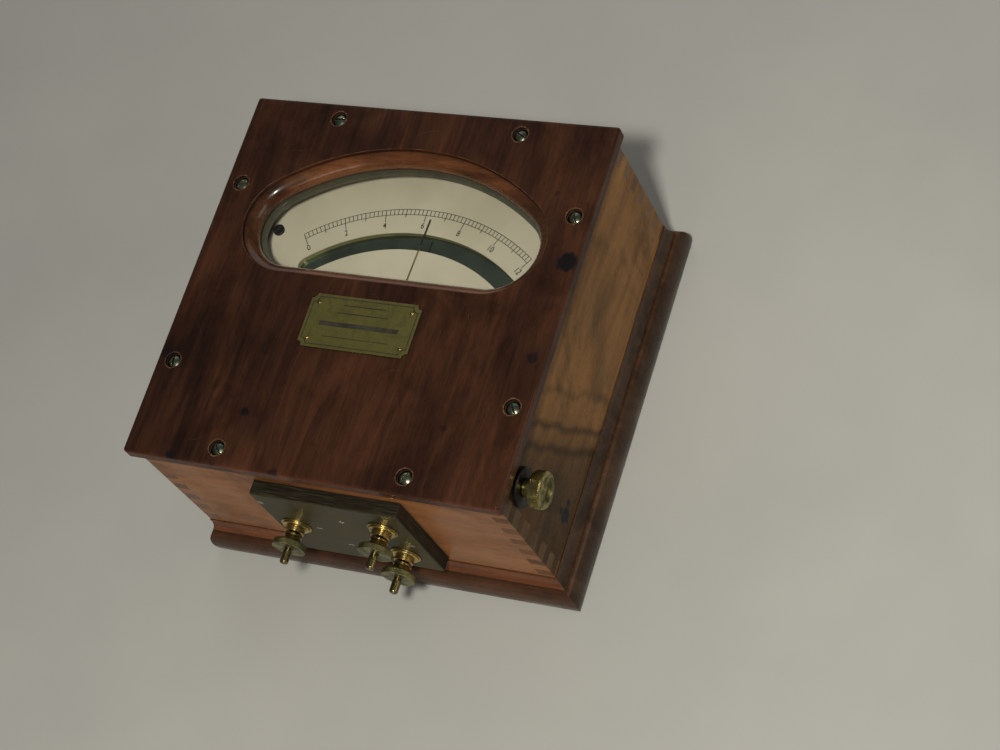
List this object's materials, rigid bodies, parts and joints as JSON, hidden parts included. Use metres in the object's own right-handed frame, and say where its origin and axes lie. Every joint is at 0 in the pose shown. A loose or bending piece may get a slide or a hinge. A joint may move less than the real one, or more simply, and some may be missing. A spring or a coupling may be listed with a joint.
{
  "type": "galvanometer",
  "caption": "Boxed moving-coil galvanometer: mahogany case with moulded base, arched dial window, pointer over a mirror scale, side terminals with thumb nuts and a zero knob.",
  "frame": {"origin": "centre of the baseboard's underside", "axes": "+Z out of the dial face, +Y from the plaque towards the window, +X towards the zero knob"},
  "size_m": [0.2154, 0.231, 0.1185],
  "materials": {
    "panel_wood": "French-polished mahogany, dark",
    "moulding_wood": "French-polished mahogany",
    "case_wood": "polished mahogany, lighter and worn",
    "base_wood": "polished mahogany",
    "inner_wood": "unfinished hardwood",
    "glass": "clear",
    "retainer_paint": "grey-green paint",
    "card": "cream card",
    "mirror": "silvered",
    "brass": "lacquered, worn",
    "plaque_brass": "tarnished",
    "screw_metal": "blackened and worn",
    "ebonite": "hard rubber, worn",
    "blackened": "blackened",
    "steel": "fine turned",
    "blued_steel": "blued spring steel",
    "magnet_steel": "red enamel",
    "iron": "soft iron, oiled",
    "aluminium": "thin strip",
    "silk_wire": "silk-covered wire, shellacked",
    "copper": "bare copper"
  },
  "bodies": {
    "case": {"base_screws": "screw_metal", "baseboard": "base_wood", "bridge_pillars": "brass", "connecting_wires": "copper", "core_bracket": "brass", "cove_moulding": "base_wood", "dial_bearers": "inner_wood", "dial_card": "card", "dial_plate": "plaque_brass", "dial_screws": "steel", "front_panel": "panel_wood", "glass_retainer": "retainer_paint", "hairspring_lower": "blued_steel", "iron_core": "iron", "jewel_screws": "brass", "knob_collar": "blackened", "lower_bridge": "brass", "magnet": "magnet_steel", "magnet_blocks": "inner_wood", "magnet_clamp": "brass", "mirror_strip": "mirror", "movement_screws": "steel", "panel_screws": "screw_metal", "plaque": "plaque_brass", "plaque_pins": "brass", "pole_pieces": "iron", "resistance_bobbins": "inner_wood", "resistance_windings": "silk_wire", "spindle_bearing": "brass", "terminal_back_nuts": "brass", "terminal_block": "ebonite", "terminal_stud_left": "brass", "terminal_stud_lower": "brass", "terminal_stud_upper": "brass", "upper_bridge": "brass", "wall_left": "case_wood", "wall_rear": "case_wood", "wall_right": "case_wood", "wall_terminal": "case_wood", "window_glass": "glass", "window_moulding": "moulding_wood"},
    "movement": {"coil_former": "aluminium", "coil_winding": "silk_wire", "pivot_staffs": "steel", "spring_collets": "brass", "balance_cross": "brass", "balance_nuts": "brass", "pointer_stem": "brass", "pointer_flag": "blackened"},
    "zero_knob": {"knob": "brass", "zero_spindle": "steel", "eccentric": "brass"},
    "zero_lever": {"zero_arm": "brass", "hairspring_upper": "blued_steel"},
    "ferrule_left": {"clamp_ferrule_left": "brass"},
    "nut_left": {"thumb_nut_left": "brass"},
    "ferrule_upper": {"clamp_ferrule_upper": "brass"},
    "nut_upper": {"thumb_nut_upper": "brass"},
    "ferrule_lower": {"clamp_ferrule_lower": "brass"},
    "nut_lower": {"thumb_nut_lower": "brass"}
  },
  "joints": [
    {"name": "movement_turn", "type": "hinge", "parent": "case", "child": "movement", "pos_m": [0, -0.0487, 0.0916], "axis": [0, 0, 1], "range_deg": [-35, 39.5], "stiffness_Nm_per_rad": 0.0001},
    {"name": "knob_turn", "type": "hinge", "parent": "case", "child": "zero_knob", "pos_m": [0.1, -0.0797, 0.0934], "axis": [1, 0, 0], "range_deg": [-35, 35]},
    {"name": "zero_lever_turn", "type": "hinge", "parent": "case", "child": "zero_lever", "pos_m": [0, -0.0487, 0.1019], "axis": [0, 0, 1], "range_deg": [-5, 5]},
    {"name": "ferrule_left_slide", "type": "slide", "parent": "case", "child": "ferrule_left", "axis": [0, -1, 0], "range_m": [-0.0006, 0.004]},
    {"name": "nut_left_turn", "type": "hinge", "parent": "ferrule_left", "child": "nut_left", "pos_m": [-0.027, -0.1165, 0.0625], "axis": [0, -1, 0], "range_deg": [-216.5, 1441]},
    {"name": "ferrule_upper_slide", "type": "slide", "parent": "case", "child": "ferrule_upper", "axis": [0, -1, 0], "range_m": [-0.0006, 0.004]},
    {"name": "nut_upper_turn", "type": "hinge", "parent": "ferrule_upper", "child": "nut_upper", "pos_m": [0.027, -0.1165, 0.0765], "axis": [0, -1, 0], "range_deg": [-216.5, 1441]},
    {"name": "ferrule_lower_slide", "type": "slide", "parent": "case", "child": "ferrule_lower", "axis": [0, -1, 0], "range_m": [-0.0006, 0.004]},
    {"name": "nut_lower_turn", "type": "hinge", "parent": "ferrule_lower", "child": "nut_lower", "pos_m": [0.027, -0.1165, 0.0465], "axis": [0, -1, 0], "range_deg": [-216.5, 1441]}
  ],
  "couplings": [
    {"joint": "zero_lever_turn", "follows": "knob_turn", "ratio": -0.1363},
    {"joint": "nut_left_turn", "follows": "ferrule_left_slide", "rad_per_m": 6283.2},
    {"joint": "nut_upper_turn", "follows": "ferrule_upper_slide", "rad_per_m": 6283.2},
    {"joint": "nut_lower_turn", "follows": "ferrule_lower_slide", "rad_per_m": 6283.2}
  ]
}
